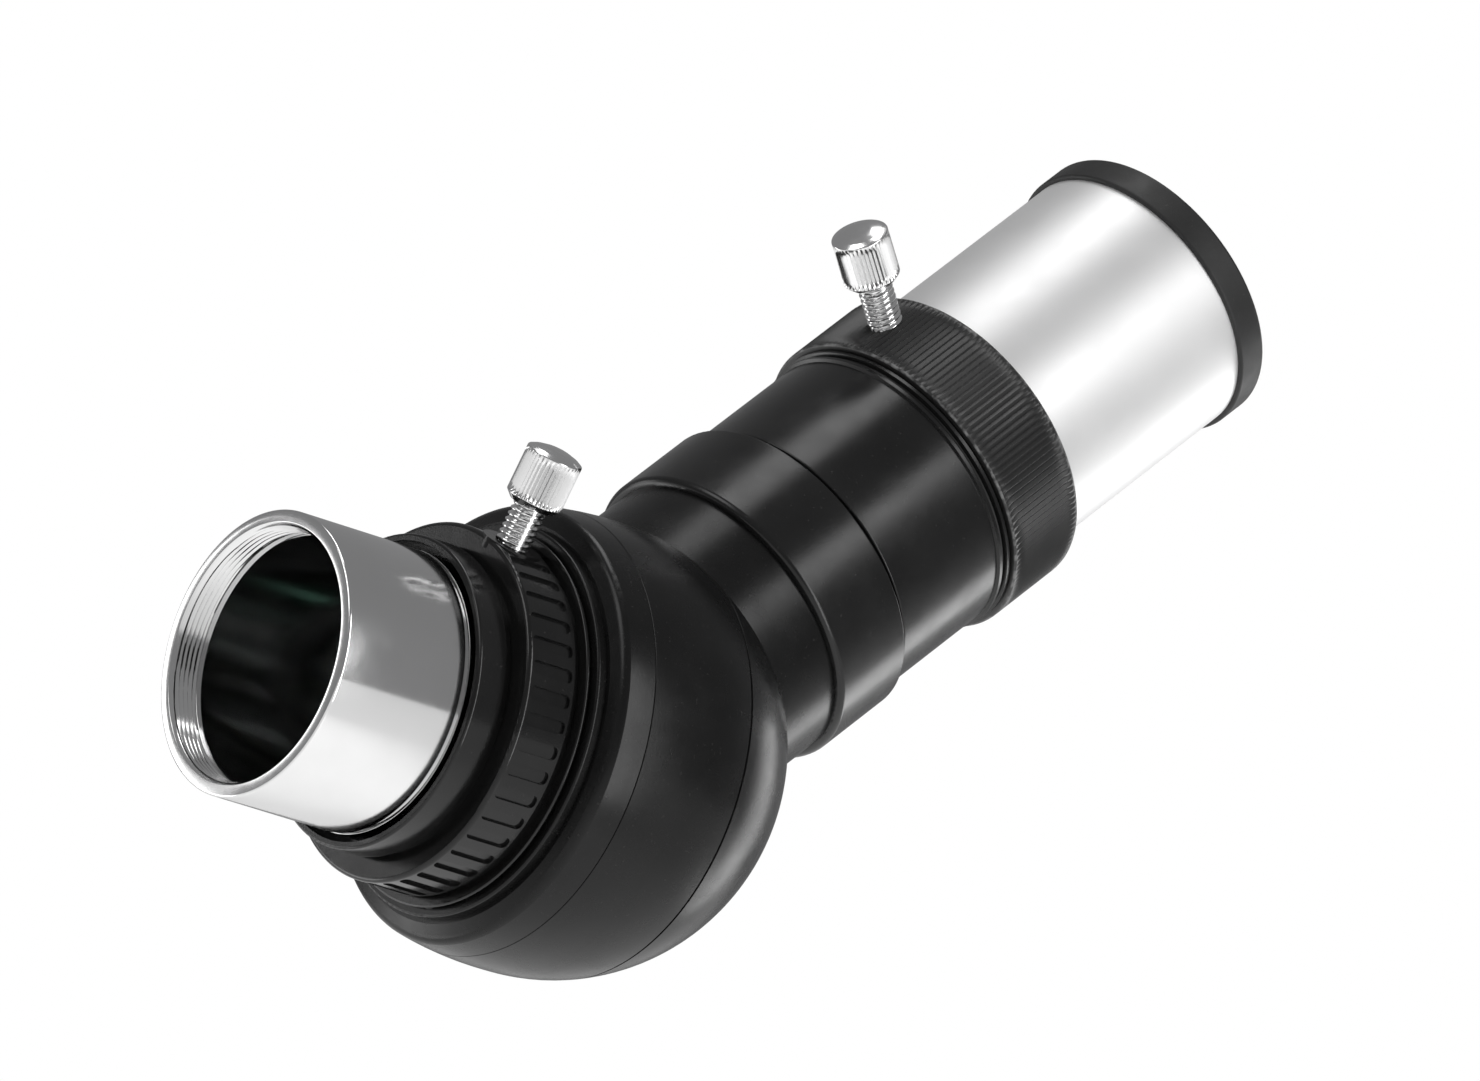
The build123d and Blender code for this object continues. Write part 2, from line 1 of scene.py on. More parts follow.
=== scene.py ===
import json
import math

import bpy
import numpy as np
from mathutils import Matrix, Quaternion, Vector


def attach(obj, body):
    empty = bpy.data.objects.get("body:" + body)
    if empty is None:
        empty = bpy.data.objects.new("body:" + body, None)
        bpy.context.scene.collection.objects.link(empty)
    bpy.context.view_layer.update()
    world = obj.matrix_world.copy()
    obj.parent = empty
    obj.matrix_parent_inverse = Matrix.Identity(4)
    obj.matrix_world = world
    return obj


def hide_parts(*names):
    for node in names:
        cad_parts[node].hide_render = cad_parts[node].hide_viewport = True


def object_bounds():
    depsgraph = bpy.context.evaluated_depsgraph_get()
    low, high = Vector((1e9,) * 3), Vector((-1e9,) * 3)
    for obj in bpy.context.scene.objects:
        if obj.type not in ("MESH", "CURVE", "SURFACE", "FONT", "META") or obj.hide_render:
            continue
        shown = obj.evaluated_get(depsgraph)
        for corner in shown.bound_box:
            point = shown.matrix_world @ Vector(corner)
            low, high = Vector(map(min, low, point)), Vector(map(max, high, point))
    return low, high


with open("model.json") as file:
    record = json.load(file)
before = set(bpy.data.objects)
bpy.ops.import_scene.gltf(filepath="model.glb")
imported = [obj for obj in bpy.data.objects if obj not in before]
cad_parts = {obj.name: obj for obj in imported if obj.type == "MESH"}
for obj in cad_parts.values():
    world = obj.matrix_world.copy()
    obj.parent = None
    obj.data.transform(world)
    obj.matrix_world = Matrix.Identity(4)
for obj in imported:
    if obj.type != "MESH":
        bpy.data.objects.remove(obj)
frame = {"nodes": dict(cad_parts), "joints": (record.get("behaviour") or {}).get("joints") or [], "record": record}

cad_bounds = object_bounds()
record = frame["record"]

# Outlines and sizes of pieces are in millimetres. Places, camera, lights and floor are in metres.
MM = 0.001
FULL_TURN = 2 * math.pi


# ---- axes and stations, all from the frame ----
def mount(name):
    return next(entry for entry in record["mounts"] if entry["name"] == name)


def joint(name):
    return next(entry for entry in frame["joints"] if entry["name"] == name)


NOSE_AXIS = Vector((1, 0, 0))
EXIT_AXIS = Vector(mount("eyepiece_rim_outside")["axis"]).normalized()
RIM_CENTRE = Vector(mount("eyepiece_rim_outside")["pos_m"])
CROSSING = RIM_CENTRE - EXIT_AXIS * (RIM_CENTRE.z / EXIT_AXIS.z)


class Extent:
    """First and last station and least and greatest radius of a CAD node about an axis."""

    def __init__(self, node, axis, origin=CROSSING):
        mesh = frame["nodes"][node].data
        points = np.array([vertex.co for vertex in mesh.vertices], float).reshape(-1, 3) - np.array(origin)
        along = points @ np.array(axis)
        from_axis = np.sqrt(np.maximum((points ** 2).sum(1) - along ** 2, 0.0))
        self.front = along.min() / MM
        self.back = along.max() / MM
        self.inner = from_axis.min() / MM
        self.outer = from_axis.max() / MM


# ---- mesh building ----
ARC_STEPS = 5              # straight steps in each rounded corner
LEAST_RADIUS = 1e-6        # a point nearer to the axis than this lies on it
NEARLY_UPRIGHT = 0.9       # vertical share of a unit vector
SHARP_ANGLE = 34.0         # degrees; edges steeper than this are shaded sharp
SMOOTH_SEGMENTS = 256      # segments round a turned piece without a knurl


def rounded(outline):
    """Turns corners (station, radius, rounding) into points (station, radius, edge).

    The rounding may be left out. Edge is the wear share: 1 in the middle of a rounding and 0 away from it.
    """
    points = []
    for index, corner in enumerate(outline):
        here = Vector(corner[:2])
        rounding = corner[2] if len(corner) > 2 else 0.0
        if rounding <= 0.0:
            points.append((here.x, here.y, 0.0))
            continue
        before = (Vector(outline[index - 1][:2]) - here).normalized()
        after = (Vector(outline[(index + 1) % len(outline)][:2]) - here).normalized()
        half_angle = before.angle(after) / 2
        reach = rounding / math.tan(half_angle)
        centre = here + (before + after).normalized() * (rounding / math.sin(half_angle))
        start = here + before * reach - centre
        end = here + after * reach - centre
        turn = start.angle_signed(end)
        for step in range(ARC_STEPS + 1):
            share = step / ARC_STEPS
            spoke = start.copy()
            spoke.rotate(Matrix.Rotation(-turn * share, 2))
            spot = centre + spoke
            points.append((spot.x, spot.y, math.sin(math.pi * share)))
    return points


def subdivided(points, longest):
    """Splits the long runs of an outline so that relief can be cut into them."""
    result = []
    for index, point in enumerate(points):
        after = points[(index + 1) % len(points)]
        gap = math.hypot(after[0] - point[0], after[1] - point[1])
        runs = max(1, math.ceil(gap / longest))
        for run in range(runs):
            share = run / runs
            result.append(tuple(here + (there - here) * share for here, there in zip(point, after)))
    return result


def axis_matrix(axis, origin):
    """Local X along the axis, local Z as near to up as it goes."""
    local_x = Vector(axis).normalized()
    up = Vector((-1, 0, 0)) if abs(local_x.z) > NEARLY_UPRIGHT else Vector((0, 0, 1))
    local_y = up.cross(local_x).normalized()
    local_z = local_x.cross(local_y)
    return Matrix.Translation(origin) @ Matrix((local_x, local_y, local_z)).transposed().to_4x4()


def on_circle(place, station, radius, angle):
    """Point in metres at a station, a radius and an angle from local Z."""
    return place @ Vector((station * MM, -radius * MM * math.sin(angle), radius * MM * math.cos(angle)))


def lathe(name, outline, axis, origin=CROSSING, segments=SMOOTH_SEGMENTS, relief=None, longest=None):
    """Turns a closed outline about an axis.

    relief(station, radius, angle) is added to the radius. Longest is the longest run left in the outline.
    """
    points = rounded(outline)
    if longest:
        points = subdivided(points, longest)
    place = axis_matrix(axis, origin)
    vertices, edge_values, starts = [], [], []
    for station, radius, edge in points:
        starts.append(len(vertices))
        if radius <= LEAST_RADIUS:
            vertices.append(place @ Vector((station * MM, 0, 0)))
            edge_values.append(0.0)
            continue
        for segment in range(segments):
            angle = FULL_TURN * segment / segments
            height = relief(station, radius, angle) if relief else 0.0
            vertices.append(on_circle(place, station, radius + height, angle))
            edge_values.append(edge)

    faces = []
    for index, point in enumerate(points):
        following = (index + 1) % len(points)
        on_axis = point[1] <= LEAST_RADIUS
        following_on_axis = points[following][1] <= LEAST_RADIUS
        if on_axis and following_on_axis:
            continue
        near, far = starts[index], starts[following]
        for segment in range(segments):
            beside = (segment + 1) % segments
            if on_axis:
                faces.append((near, far + beside, far + segment))
            elif following_on_axis:
                faces.append((near + segment, near + beside, far))
            else:
                faces.append((near + segment, near + beside, far + beside, far + segment))
    return mesh_object(name, vertices, faces, edge_values)


def signed_volume(mesh):
    """Volume of a closed mesh in cubic metres, negative if its faces point inwards."""
    total = 0.0
    for polygon in mesh.polygons:
        corners = [mesh.vertices[index].co for index in polygon.vertices]
        for index in range(1, len(corners) - 1):
            total += corners[0].dot(corners[index].cross(corners[index + 1]))
    return total / 6


def mesh_object(name, vertices, faces, edge_values=None):
    """Links a closed mesh with its faces outwards, smooth shading and the wear share of its vertices."""
    mesh = bpy.data.meshes.new(name)
    mesh.from_pydata(vertices, [], faces)
    mesh.validate()
    piece = bpy.data.objects.new(name, mesh)
    bpy.context.scene.collection.objects.link(piece)
    if signed_volume(mesh) < 0:
        mesh.flip_normals()
    mesh.polygons.foreach_set("use_smooth", [True] * len(mesh.polygons))
    mesh.set_sharp_from_angle(angle=math.radians(SHARP_ANGLE))
    if edge_values is not None:
        attribute = mesh.attributes.new("edge", "FLOAT", "POINT")
        attribute.data.foreach_set("value", edge_values)
    return piece


# ---- material building ----
# A Mix node has sockets of one name for every data type, so the colour ones are picked by number.
MIX_FACTOR = 0
MIX_FIRST_COLOUR = 6
MIX_SECOND_COLOUR = 7
MIX_COLOUR_RESULT = 2


class Surface:
    """A material under construction: short names for the nodes every finish here uses."""

    def __init__(self, name):
        self.material = bpy.data.materials.new(name)
        self.material.use_nodes = True
        self.tree = self.material.node_tree
        self.shader = self.tree.nodes["Principled BSDF"]
        self.coordinates = self.node("ShaderNodeTexCoord").outputs["Object"]

    def node(self, kind, **settings):
        """Adds a node; a setting named like one of its sockets goes to the socket."""
        made = self.tree.nodes.new(kind)
        for key, value in settings.items():
            if key in made.inputs:
                self.put(made.inputs[key], value)
            else:
                setattr(made, key, value)
        return made

    def put(self, socket, value):
        """Links a socket to another one, or sets it to a constant."""
        if isinstance(value, bpy.types.NodeSocket):
            self.tree.links.new(value, socket)
        else:
            socket.default_value = value

    def shade(self, **values):
        """Sets sockets of the shader; an underscore stands for a space in a socket's name."""
        for key, value in values.items():
            self.put(self.shader.inputs[key.replace("_", " ")], value)

    def stretched(self, axis, along, across):
        """Coordinates scaled by one factor along an axis and another across it."""
        rotation = Vector((1, 0, 0)).rotation_difference(Vector(axis)).inverted().to_euler()
        turned = self.node("ShaderNodeVectorRotate", rotation_type="EULER_XYZ", Vector=self.coordinates)
        turned.inputs["Rotation"].default_value = rotation
        scaled = self.node("ShaderNodeVectorMath", operation="MULTIPLY")
        self.put(scaled.inputs[0], turned.outputs[0])
        scaled.inputs[1].default_value = (along, across, across)
        return scaled.outputs[0]

    def noise(self, scale, detail, roughness=0.55, vector=None):
        made = self.node("ShaderNodeTexNoise", Scale=scale, Detail=detail, Roughness=roughness)
        self.put(made.inputs["Vector"], vector or self.coordinates)
        return made.outputs["Fac"]

    def spread(self, value, low, high, start=0.3, end=0.7):
        """Maps start..end, where most of a noise lies, to low..high and holds the ends."""
        made = self.node("ShaderNodeMapRange", clamp=True)
        self.put(made.inputs["Value"], value)
        made.inputs["From Min"].default_value = start
        made.inputs["From Max"].default_value = end
        made.inputs["To Min"].default_value = low
        made.inputs["To Max"].default_value = high
        return made.outputs["Result"]

    def blend(self, share, first, second):
        made = self.node("ShaderNodeMix", data_type="RGBA")
        self.put(made.inputs[MIX_FACTOR], share)
        self.put(made.inputs[MIX_FIRST_COLOUR], first)
        self.put(made.inputs[MIX_SECOND_COLOUR], second)
        return made.outputs[MIX_COLOUR_RESULT]

    def maths(self, operation, first, second):
        made = self.node("ShaderNodeMath", operation=operation)
        self.put(made.inputs[0], first)
        self.put(made.inputs[1], second)
        return made.outputs[0]

    def worn_edge(self, scale, wear, start, end):
        """The wear share stored on the rounded corners of the turned meshes, broken up by noise."""
        edge = self.node("ShaderNodeAttribute", attribute_name="edge").outputs["Fac"]
        patches = self.spread(self.noise(scale, detail=4.0), low=0.0, high=wear, start=start, end=end)
        return self.maths("MULTIPLY", edge, patches)

    def bump(self, height, depth, strength, under=None):
        """A bump of a depth in millimetres, on top of another bump if there is one."""
        made = self.node("ShaderNodeBump", Strength=strength, Distance=depth * MM, Height=height)
        if under is not None:
            self.put(made.inputs["Normal"], under)
        return made.outputs["Normal"]


def grey(value, warmth=0.0):
    """A colour of a grey value; warmth is the share added to red and taken from blue."""
    return (value * (1 + warmth), value, value * (1 - warmth), 1.0)


PLASTIC_IOR = 1.5
PLASTIC_PATCH_LIFT = 1.5   # tone of the palest patches over that of the darkest
PLASTIC_EDGE_LIFT = 5.0    # tone of fully worn edges over that of the darkest patches
DUST_SHARE = 0.06
DUST_GREY = grey(0.16, 0.04)
METAL_WORN_GREY = grey(0.35)
GLASS_IOR = 1.52
GLASS_COAT_WEIGHT = 0.5
GLASS_COAT_TINT = (0.72, 0.88, 0.82, 1.0)
CORK_DARK = grey(0.12, 0.5)
CORK_PALE = grey(0.3, 0.4)
CORK_ROUGHNESS = 0.85


def moulded_plastic(name, tone, roughness, grain_scale=5400.0, grain_depth=0.012, wear=0.25, shine=0.32):
    """Black moulded plastic: uneven gloss, fine mould grain, a few dust specks and paler handled edges."""
    surface = Surface(name)
    patches = surface.spread(surface.noise(scale=140.0, detail=4.0), low=0.0, high=1.0)
    colour = surface.blend(patches, grey(tone), grey(tone * PLASTIC_PATCH_LIFT))
    worn = surface.worn_edge(scale=700.0, wear=wear, start=0.42, end=0.62)
    colour = surface.blend(worn, colour, grey(tone * PLASTIC_EDGE_LIFT))
    speckles = surface.noise(scale=2600.0, detail=1.0)
    dust = surface.spread(speckles, low=0.0, high=DUST_SHARE, start=0.70, end=0.78)
    colour = surface.blend(dust, colour, DUST_GREY)
    gloss = surface.spread(surface.noise(scale=260.0, detail=5.0), *roughness)
    surface.shade(Base_Color=colour, Roughness=gloss, IOR=PLASTIC_IOR, Specular_IOR_Level=shine)
    ripple = surface.bump(surface.noise(scale=190.0, detail=2.0), depth=0.04, strength=0.3)
    grain = surface.noise(scale=grain_scale, detail=2.0)
    surface.shade(Normal=surface.bump(grain, depth=grain_depth, strength=0.6, under=ripple))
    return surface.material


def turned_metal(name, tone, roughness, axis, metallic=1.0, line_depth=0.01, wear=0.0, blotch=0.06):
    """Lathe-turned metal, or paint on it: fine rings round the axis, uneven gloss and smudges."""
    surface = Surface(name)
    ring_coordinates = surface.stretched(axis, along=9000.0, across=5.0)
    lines = surface.noise(scale=1.0, detail=2.0, roughness=0.6, vector=ring_coordinates)
    smudge = surface.noise(scale=110.0, detail=4.0)
    smudge_share = surface.spread(smudge, low=0.0, high=1.0)
    colour = surface.blend(smudge_share, grey(tone), grey(tone * (1 - blotch)))
    if wear:
        worn = surface.worn_edge(scale=900.0, wear=wear, start=0.45, end=0.6)
        colour = surface.blend(worn, colour, METAL_WORN_GREY)
    line_gloss = surface.spread(lines, low=-0.015, high=0.02)
    gloss = surface.maths("ADD", surface.spread(smudge, *roughness), line_gloss)
    surface.shade(Base_Color=colour, Metallic=metallic, Roughness=gloss)
    ripple = surface.bump(surface.noise(scale=240.0, detail=2.0), depth=0.03, strength=0.25)
    surface.shade(Normal=surface.bump(lines, depth=line_depth, strength=0.7, under=ripple))
    return surface.material


def coated_glass(name, tint):
    """Clear glass with a faint green coating and a little haze."""
    surface = Surface(name)
    haze = surface.spread(surface.noise(scale=300.0, detail=3.0), low=0.0, high=0.03)
    surface.shade(Base_Color=tint, Transmission_Weight=1.0, IOR=GLASS_IOR, Roughness=haze)
    surface.shade(Coat_Weight=GLASS_COAT_WEIGHT, Coat_Tint=GLASS_COAT_TINT)
    return surface.material


def cork(name):
    """Granular cork, each grain darkest in its middle."""
    surface = Surface(name)
    cells = surface.node("ShaderNodeTexVoronoi", Scale=1800.0)
    surface.put(cells.inputs["Vector"], surface.coordinates)
    distance = cells.outputs["Distance"]
    outwards = surface.spread(distance, low=0.0, high=1.0, start=0.1, end=0.8)
    colour = surface.blend(outwards, CORK_DARK, CORK_PALE)
    grains = surface.bump(distance, depth=0.1, strength=0.8)
    surface.shade(Base_Color=colour, Roughness=CORK_ROUGHNESS, Normal=grains)
    return surface.material


# ---- finishes of the slots: name, tone, least and greatest roughness ----
SLOT_MATERIALS = {
    "collar_plastic": moulded_plastic("collar_plastic", 0.004, (0.10, 0.19)),
    "housing_plastic": moulded_plastic("housing_plastic", 0.003, (0.22, 0.30), shine=0.22),
    "tube_black": moulded_plastic("tube_black", 0.004, (0.19, 0.27), wear=0.3),
    "ring_black": turned_metal("ring_black", 0.009, (0.34, 0.46), EXIT_AXIS, metallic=0.0, wear=0.3),
    "inner_black": turned_metal("inner_black", 0.012, (0.5, 0.7), NOSE_AXIS, metallic=0.0, line_depth=0.04),
    "barrel_chrome": turned_metal("barrel_chrome", 0.70, (0.08, 0.18), NOSE_AXIS, line_depth=0.004),
    "thumbscrew_chrome": turned_metal("screw_chrome", 0.74, (0.12, 0.22), (0, 0, 1), line_depth=0.004),
    "barrel_satin": turned_metal(
        "barrel_satin", 0.72, (0.46, 0.53), EXIT_AXIS, metallic=0.88, line_depth=0.003, blotch=0.02),
    "rim_black": moulded_plastic("rim_black", 0.009, (0.42, 0.58), grain_scale=9000.0, grain_depth=0.03),
    "screw_steel": turned_metal("screw_steel", 0.12, (0.3, 0.5), NOSE_AXIS),
    "spring_steel": turned_metal("spring_steel", 0.5, (0.2, 0.35), NOSE_AXIS),
    "cradle_black": moulded_plastic("cradle_black", 0.012, (0.5, 0.7)),
    "pad_cork": cork("pad_cork"),
    "optical_glass": coated_glass("optical_glass", (0.97, 1.0, 0.98, 1.0)),
}
NODE_SLOTS = {part["node"]: part["material_slot"] for part in record["subparts"]}

# The black rings in the neck and the eyepiece are turned about the exit axis.
INNER_BLACK_EXIT = turned_metal(
    "inner_black_exit", 0.012, (0.5, 0.7), EXIT_AXIS, metallic=0.0, line_depth=0.04)
RINGS_ON_EXIT_AXIS = ("neck_baffle", "field_stop", "lens_spacer", "lens_retaining_ring")


def paint(piece, material):
    piece.data.materials.clear()
    piece.data.materials.append(material)


for node, piece in frame["nodes"].items():
    paint(piece, INNER_BLACK_EXIT if node in RINGS_ON_EXIT_AXIS else SLOT_MATERIALS[NODE_SLOTS[node]])


def stand_in(piece, node):
    """Puts a detailed piece in place of the CAD node it stands for."""
    body = next(body for body, members in record["behaviour"]["bodies"].items() if node in members)
    paint(piece, SLOT_MATERIALS[NODE_SLOTS[node]])
    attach(piece, body)
    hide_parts(node)


def triangle_wave(value):
    """A wave from 1 at whole numbers to 0 halfway between them."""
    return abs(2 * (value % 1.0) - 1)


def helix(station, pitch, angle):
    """A triangle wave that runs round the axis once a pitch, for threads."""
    return triangle_wave(station / pitch - angle / FULL_TURN)


# ---- clamp ring with its fine straight knurl ----
RING_TEETH = 150
RING_SEGMENTS_PER_TOOTH = 6
RING_KNURL_DEPTH = 0.26
RING_PLAIN_FRONT = 0.25    # plain edges before and behind the knurl
RING_PLAIN_BACK = 0.75
RING_FRONT_FADE = 0.35     # over these lengths the knurl grows to its full depth
RING_BACK_FADE = 0.5
RING_SEAT_STEP = 0.85      # the seat on the holder is this much wider, in radius, than the lip behind it
RING_LIP_LENGTH = 0.9
RING_SMALL_ROUNDING = 0.3
RING_BACK_ROUNDING = 1.0
RING_KNURL_REACH = 0.6     # only points this close to the outside are knurled
RING_LONGEST_RUN = 0.8


def clamp_ring():
    ring = Extent("clamp_ring", EXIT_AXIS)

    def knurl(station, radius, angle):
        from_front = (station - ring.front - RING_PLAIN_FRONT) / RING_FRONT_FADE
        from_back = (ring.back - RING_PLAIN_BACK - station) / RING_BACK_FADE
        share = min(from_front, from_back, 1.0)
        if share <= 0 or radius < ring.outer - RING_KNURL_REACH:
            return 0.0
        return -RING_KNURL_DEPTH * share * (1 - triangle_wave(angle * RING_TEETH / FULL_TURN))

    seat_r = ring.inner + RING_SEAT_STEP
    lip_front = ring.back - RING_LIP_LENGTH
    outline = [
        (ring.front, seat_r), (lip_front, seat_r), (lip_front, ring.inner),
        (ring.back, ring.inner, RING_SMALL_ROUNDING), (ring.back, ring.outer, RING_BACK_ROUNDING),
        (ring.front, ring.outer, RING_SMALL_ROUNDING)]
    segments = RING_TEETH * RING_SEGMENTS_PER_TOOTH
    ring_mesh = lathe(
        "clamp_ring_knurled", outline, EXIT_AXIS, CROSSING, segments,
        relief=knurl, longest=RING_LONGEST_RUN)
    stand_in(ring_mesh, "clamp_ring")


clamp_ring()

# ---- nosepiece with its filter thread ----
NOSE_SAFETY_GROOVE = 16.1    # from the mouth to the groove
NOSE_GROOVE_WIDTH = 0.6
NOSE_GROOVE_DEPTH = 0.42
NOSE_GROOVE_ROUNDING = 0.05
NOSE_FREE_LENGTH = 29.6      # from the mouth to the housing
NOSE_TAIL_R = 15.0           # radius inside the housing
NOSE_MOUTH_LIP = 0.25        # how far the mouth opens beyond the thread
NOSE_LIP_ROUNDING = 0.08
NOSE_MOUTH_ROUNDING = 0.3
FILTER_PITCH = 0.6
FILTER_THREAD_HEIGHT = 0.3
FILTER_POINT_STEP = 0.1      # spacing of the outline's points in the thread
FILTER_FIRST_STEP = 3        # steps from the mouth to the first of them
FILTER_PLAIN_FRONT = 0.25    # plain lengths before and behind the thread
FILTER_PLAIN_BACK = 0.3
FILTER_FRONT_FADE = 0.5      # over these lengths the thread grows to its full height
FILTER_BACK_FADE = 0.4
FILTER_THREAD_REACH = 0.05   # only points this close to the thread's radius are threaded


def nosepiece():
    nose = Extent("nosepiece_barrel", NOSE_AXIS)
    thread = mount("filter_thread")["dims"]
    thread_r = thread["r_mm"]
    mouth = nose.front
    thread_end = mouth + thread["length_mm"]
    groove = mouth + NOSE_SAFETY_GROOVE
    groove_end = groove + NOSE_GROOVE_WIDTH
    groove_r = nose.outer - NOSE_GROOVE_DEPTH
    tail = mouth + NOSE_FREE_LENGTH
    thread_start = mouth + FILTER_PLAIN_FRONT
    thread_stop = thread_end - FILTER_PLAIN_BACK
    point_steps = range(FILTER_FIRST_STEP, round(thread["length_mm"] / FILTER_POINT_STEP))
    in_thread = [(mouth + FILTER_POINT_STEP * step, thread_r) for step in point_steps]

    def filter_thread(station, radius, angle):
        if not thread_start < station < thread_stop or radius > thread_r + FILTER_THREAD_REACH:
            return 0.0
        from_front = (station - thread_start) / FILTER_FRONT_FADE
        from_back = (thread_stop - station) / FILTER_BACK_FADE
        share = min(1.0, from_front, from_back)
        return -FILTER_THREAD_HEIGHT * share * helix(station, FILTER_PITCH, angle)

    outline = [
        (mouth, thread_r + NOSE_MOUTH_LIP, NOSE_LIP_ROUNDING), *in_thread,
        (thread_end, thread_r), (thread_end, nose.inner), (nose.back, nose.inner),
        (nose.back, NOSE_TAIL_R), (tail, NOSE_TAIL_R), (tail, nose.outer),
        (groove_end, nose.outer, NOSE_GROOVE_ROUNDING), (groove_end, groove_r), (groove, groove_r),
        (groove, nose.outer, NOSE_GROOVE_ROUNDING), (mouth, nose.outer, NOSE_MOUTH_ROUNDING)]
    stand_in(lathe("nosepiece_threaded", outline, NOSE_AXIS, relief=filter_thread), "nosepiece_barrel")


nosepiece()

# ---- knurled thumbscrew heads ----
HEAD_TEETH = 40
HEAD_SEGMENTS_PER_TOOTH = 8
HEAD_KNURL_DEPTH = 0.24
HEAD_SHOULDER = 0.75         # from the top down to the full radius
HEAD_BASE_PLAIN = 0.75       # plain lengths at the base and under the shoulder
HEAD_SHOULDER_PLAIN = 0.35
HEAD_BASE_FADE = 0.25        # over these lengths the knurl grows to its full depth
HEAD_SHOULDER_FADE = 0.3
HEAD_KNURL_REACH = 0.2       # only points this close to the outside are knurled
HEAD_LONGEST_RUN = 0.45
HEAD_SOCKET_DEPTH = 4.2      # the hole the stud stands in
HEAD_SOCKET_SLIP = 0.05
HEAD_DOME_CROWN = (0.12, 1.5)    # drop below the top, and radius
HEAD_DOME_EDGE = (0.42, 2.55)
HEAD_DOME_ROUNDING = 0.5
HEAD_SHOULDER_ROUNDING = 0.22
HEAD_BASE_BEVEL = 0.7
HEAD_BASE_ROUNDING = 0.2


def thumbscrew_head(name, head, stud, axis, origin):
    """A knurled head with a low dome and a hole for the stud."""
    shoulder = head.back - HEAD_SHOULDER

    def knurl(station, radius, angle):
        from_base = (station - head.front - HEAD_BASE_PLAIN) / HEAD_BASE_FADE
        from_shoulder = (shoulder - HEAD_SHOULDER_PLAIN - station) / HEAD_SHOULDER_FADE
        share = min(from_base, from_shoulder, 1.0)
        if share <= 0 or radius < head.outer - HEAD_KNURL_REACH:
            return 0.0
        return -HEAD_KNURL_DEPTH * share * (1 - triangle_wave(angle * HEAD_TEETH / FULL_TURN))

    socket_r = stud.outer + HEAD_SOCKET_SLIP
    socket_end = head.front + HEAD_SOCKET_DEPTH
    crown_drop, crown_r = HEAD_DOME_CROWN
    edge_drop, edge_r = HEAD_DOME_EDGE
    outline = [
        (head.front, socket_r), (socket_end, socket_r), (socket_end, 0.0), (head.back, 0.0),
        (head.back - crown_drop, crown_r), (head.back - edge_drop, edge_r, HEAD_DOME_ROUNDING),
        (shoulder, head.outer, HEAD_SHOULDER_ROUNDING),
        (head.front + HEAD_BASE_BEVEL, head.outer, HEAD_BASE_ROUNDING),
        (head.front, head.outer - HEAD_BASE_BEVEL, HEAD_BASE_ROUNDING)]
    segments = HEAD_TEETH * HEAD_SEGMENTS_PER_TOOTH
    return lathe(name, outline, axis, origin, segments, relief=knurl, longest=HEAD_LONGEST_RUN)


# ---- threaded studs ----
SCREW_PITCH = 0.7
SCREW_THREAD_DEPTH = 0.3
SCREW_CREST = 1.3            # over 1, so that the thread's crests are flat
STUD_TIP_CHAMFER = 0.6
STUD_END_CHAMFER = 0.25
STUD_SEGMENTS = 72
STUD_RINGS_PER_PITCH = 8


def threaded_stud(name, stud, axis, origin):
    """A rod with a helical thread, its tip and end chamfered."""
    length = stud.back - stud.front
    rings = int(length / SCREW_PITCH * STUD_RINGS_PER_PITCH)
    place = axis_matrix(axis, origin)
    vertices = [place @ Vector((stud.front * MM, 0, 0))]
    for ring in range(rings + 1):
        station = stud.front + length * ring / rings
        tip_chamfer = STUD_TIP_CHAMFER - (station - stud.front)
        end_chamfer = STUD_END_CHAMFER - (stud.back - station)
        chamfer = max(0.0, tip_chamfer, end_chamfer)
        for segment in range(STUD_SEGMENTS):
            angle = FULL_TURN * segment / STUD_SEGMENTS
            crest = min(1.0, SCREW_CREST * helix(station, SCREW_PITCH, angle))
            threaded_r = stud.outer - SCREW_THREAD_DEPTH * (1 - crest)
            vertices.append(on_circle(place, station, min(threaded_r, stud.outer - chamfer), angle))
    end = len(vertices)
    vertices.append(place @ Vector((stud.back * MM, 0, 0)))

    faces = []
    last_ring = 1 + rings * STUD_SEGMENTS
    for segment in range(STUD_SEGMENTS):
        beside = (segment + 1) % STUD_SEGMENTS
        faces.append((0, 1 + beside, 1 + segment))
        faces.append((end, last_ring + segment, last_ring + beside))
        for ring in range(rings):
            near = 1 + ring * STUD_SEGMENTS
            far = near + STUD_SEGMENTS
            faces.append((near + segment, near + beside, far + beside, far + segment))
    return mesh_object(name, vertices, faces)


def thumbscrew(screw):
    """Puts a detailed head and stud in place of the plain ones of a screw."""
    head_node = screw + "_head"
    stud_node = screw + "_stud"
    turn = joint(screw + "_turn")
    origin = Vector(turn["pos_m"])
    axis = Vector(turn["axis"]).normalized()
    head = Extent(head_node, axis, origin)
    stud = Extent(stud_node, axis, origin)
    stand_in(thumbscrew_head(head_node + "_knurled", head, stud, axis, origin), head_node)
    stand_in(threaded_stud(stud_node + "_threaded", stud, axis, origin), stud_node)


thumbscrew("collar_screw")
thumbscrew("holder_screw")

# ---- camera ----
CAMERA_OFFSET_M = Vector((-1.1277, -1.4662, -0.2607))    # from the crossing
CAMERA_ROLL = math.radians(11.15)
LENS_FOCAL_LENGTH = 420.0
CLIP_END_M = 50.0

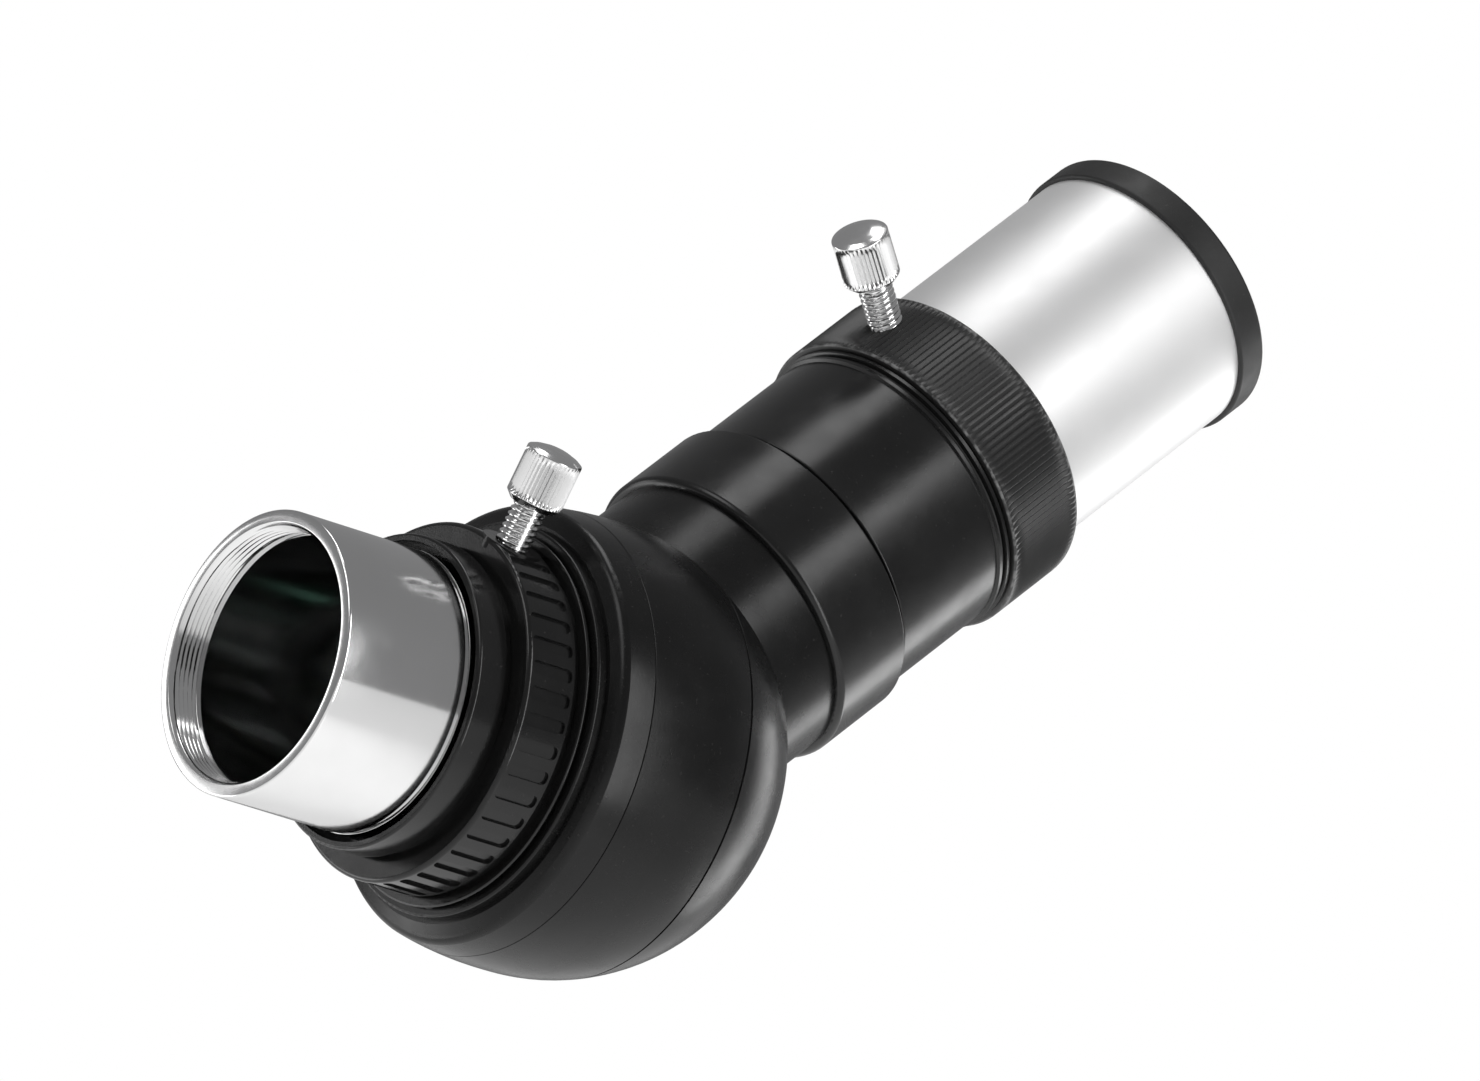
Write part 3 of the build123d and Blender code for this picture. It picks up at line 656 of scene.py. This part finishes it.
centre = (cad_bounds[0] + cad_bounds[1]) / 2
camera = bpy.data.objects.new("camera", bpy.data.cameras.new("camera"))
bpy.context.scene.collection.objects.link(camera)
camera.location = CROSSING + CAMERA_OFFSET_M
gaze = (centre - camera.location).normalized()
camera.rotation_mode = "QUATERNION"
camera.rotation_quaternion = Quaternion(gaze, -CAMERA_ROLL) @ gaze.to_track_quat("-Z", "Y")
camera.data.lens = LENS_FOCAL_LENGTH
camera.data.clip_end = CLIP_END_M
bpy.context.scene.camera = camera
bpy.context.view_layer.update()
camera_right = camera.matrix_world.to_3x3() @ Vector((1, 0, 0))
camera_up = camera.matrix_world.to_3x3() @ Vector((0, 1, 0))

# ---- lights ----
SOFTBOX_DISTANCE_M = 1.1


def softbox(name, rightward, upward, nearer, width, height, radiance):
    """An area light that faces the object, in a direction given from the camera's side; sizes in metres."""
    light = bpy.data.objects.new(name, bpy.data.lights.new(name, "AREA"))
    bpy.context.scene.collection.objects.link(light)
    light.data.shape = "RECTANGLE"
    light.data.size = width
    light.data.size_y = height
    light.data.energy = radiance * math.pi * width * height
    direction = (camera_right * rightward + camera_up * upward - gaze * nearer).normalized()
    light.location = centre + direction * SOFTBOX_DISTANCE_M
    light.rotation_mode = "QUATERNION"
    light.rotation_quaternion = direction.to_track_quat("Z", "Y")


softbox("key_right", rightward=0.78, upward=0.02, nearer=0.60, width=0.36, height=1.30, radiance=5.2)
softbox("broad_left", rightward=-0.50, upward=0.78, nearer=0.42, width=0.45, height=0.60, radiance=3.0)
softbox("rim_right", rightward=0.76, upward=-0.36, nearer=-0.72, width=0.32, height=0.90, radiance=3.6)
softbox("rim_left", rightward=-0.90, upward=-0.05, nearer=-0.30, width=0.25, height=0.80, radiance=2.8)
softbox("top", rightward=0.10, upward=0.95, nearer=-0.15, width=0.80, height=0.30, radiance=4.0)

# ---- world: white, but grey in reflections, so that black plastic stays black ----
WORLD_WHITE = (1, 1, 1, 1)
WORLD_REFLECTED = (0.26, 0.26, 0.263, 1)

world = bpy.data.worlds.new("studio")
bpy.context.scene.world = world
world.use_nodes = True
tree = world.node_tree
light_path = tree.nodes.new("ShaderNodeLightPath")
mix = tree.nodes.new("ShaderNodeMixShader")
white = tree.nodes["Background"]
white.inputs["Color"].default_value = WORLD_WHITE
reflected = tree.nodes.new("ShaderNodeBackground")
reflected.inputs["Color"].default_value = WORLD_REFLECTED
tree.links.new(light_path.outputs["Is Glossy Ray"], mix.inputs["Fac"])
tree.links.new(white.outputs[0], mix.inputs[1])
tree.links.new(reflected.outputs[0], mix.inputs[2])
tree.links.new(mix.outputs[0], tree.nodes["World Output"].inputs["Surface"])
bpy.context.scene.view_settings.view_transform = "Standard"

# ---- floor ----
FLOOR_HALF_WIDTH_M = 5.0
FLOOR_DROP_M = 0.75          # below the object's lowest point
FLOOR_TONES = (0.90, 0.93)
FLOOR_NOISE_SCALE = 3.0
FLOOR_NOISE_DETAIL = 3.0
FLOOR_ROUGHNESS = 0.7
FLOOR_CORNERS = ((-1, -1), (1, -1), (1, 1), (-1, 1))

floor_level = cad_bounds[0].z - FLOOR_DROP_M
floor_mesh = bpy.data.meshes.new("floor")
floor_vertices = []
for x_side, y_side in FLOOR_CORNERS:
    corner_x = centre.x + x_side * FLOOR_HALF_WIDTH_M
    corner_y = centre.y + y_side * FLOOR_HALF_WIDTH_M
    floor_vertices.append((corner_x, corner_y, floor_level))
floor_mesh.from_pydata(floor_vertices, [], [range(len(floor_vertices))])
floor = bpy.data.objects.new("floor", floor_mesh)
bpy.context.scene.collection.objects.link(floor)
pale = Surface("pale_floor")
floor_noise = pale.noise(FLOOR_NOISE_SCALE, FLOOR_NOISE_DETAIL)
pale.shade(Base_Color=pale.blend(floor_noise, *map(grey, FLOOR_TONES)), Roughness=FLOOR_ROUGHNESS)
floor_mesh.materials.append(pale.material)
